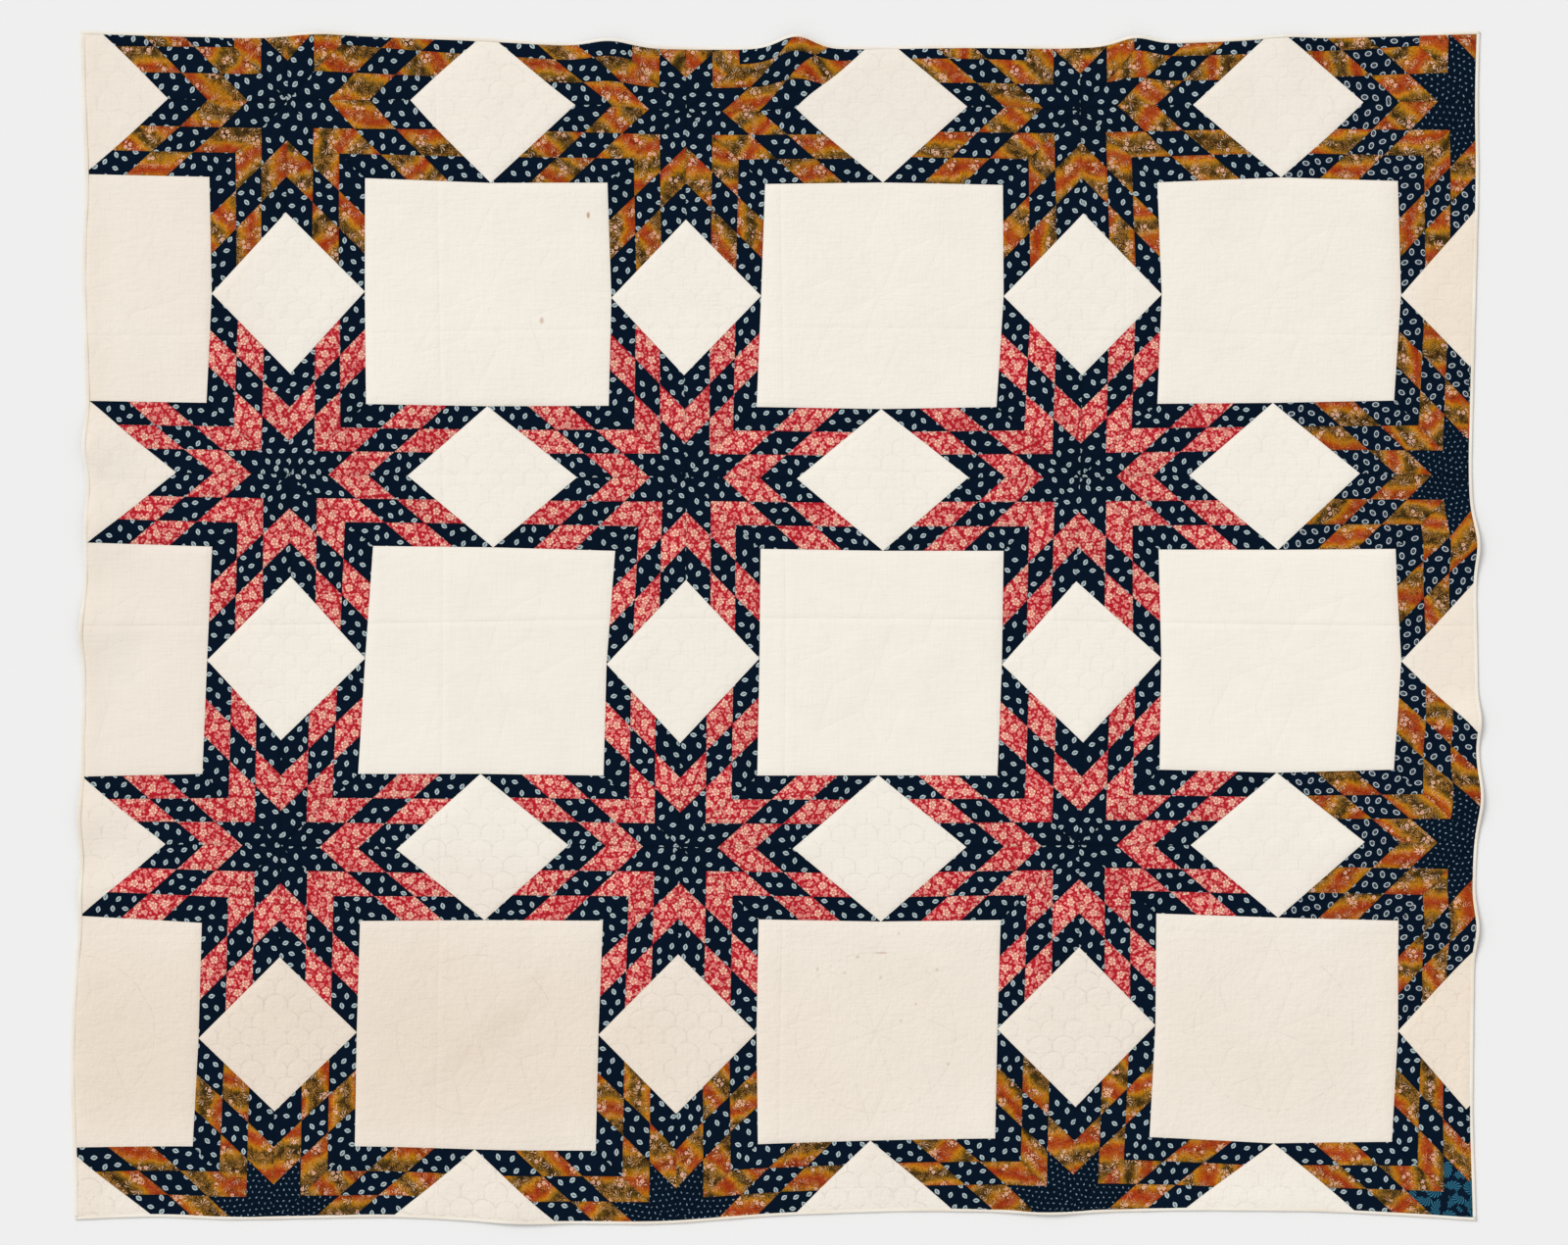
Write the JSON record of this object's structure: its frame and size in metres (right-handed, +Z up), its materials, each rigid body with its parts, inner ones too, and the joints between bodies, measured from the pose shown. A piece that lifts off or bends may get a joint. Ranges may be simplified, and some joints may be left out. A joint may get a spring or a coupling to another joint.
{
  "type": "star quilt blanket",
  "caption": "Large pieced and quilted cotton bed cover of eight-pointed stars and plain squares, narrow bound edges, laid out flat.",
  "frame": {"origin": "middle of the underside, on the floor", "axes": "+X across the quilt to the picture's right, +Y to its top edge, +Z up out of the patched face"},
  "size_m": [2.1884, 1.8478, 0.0156],
  "materials": {
    "pieced_cotton": "matt printed and plain cotton, quilted",
    "binding": "matt plain cotton"
  },
  "bodies": {
    "root": {"quilt_body": "pieced_cotton", "binding_top": "binding", "binding_right": "binding", "binding_bottom": "binding", "binding_left": "binding"}
  },
  "joints": []
}
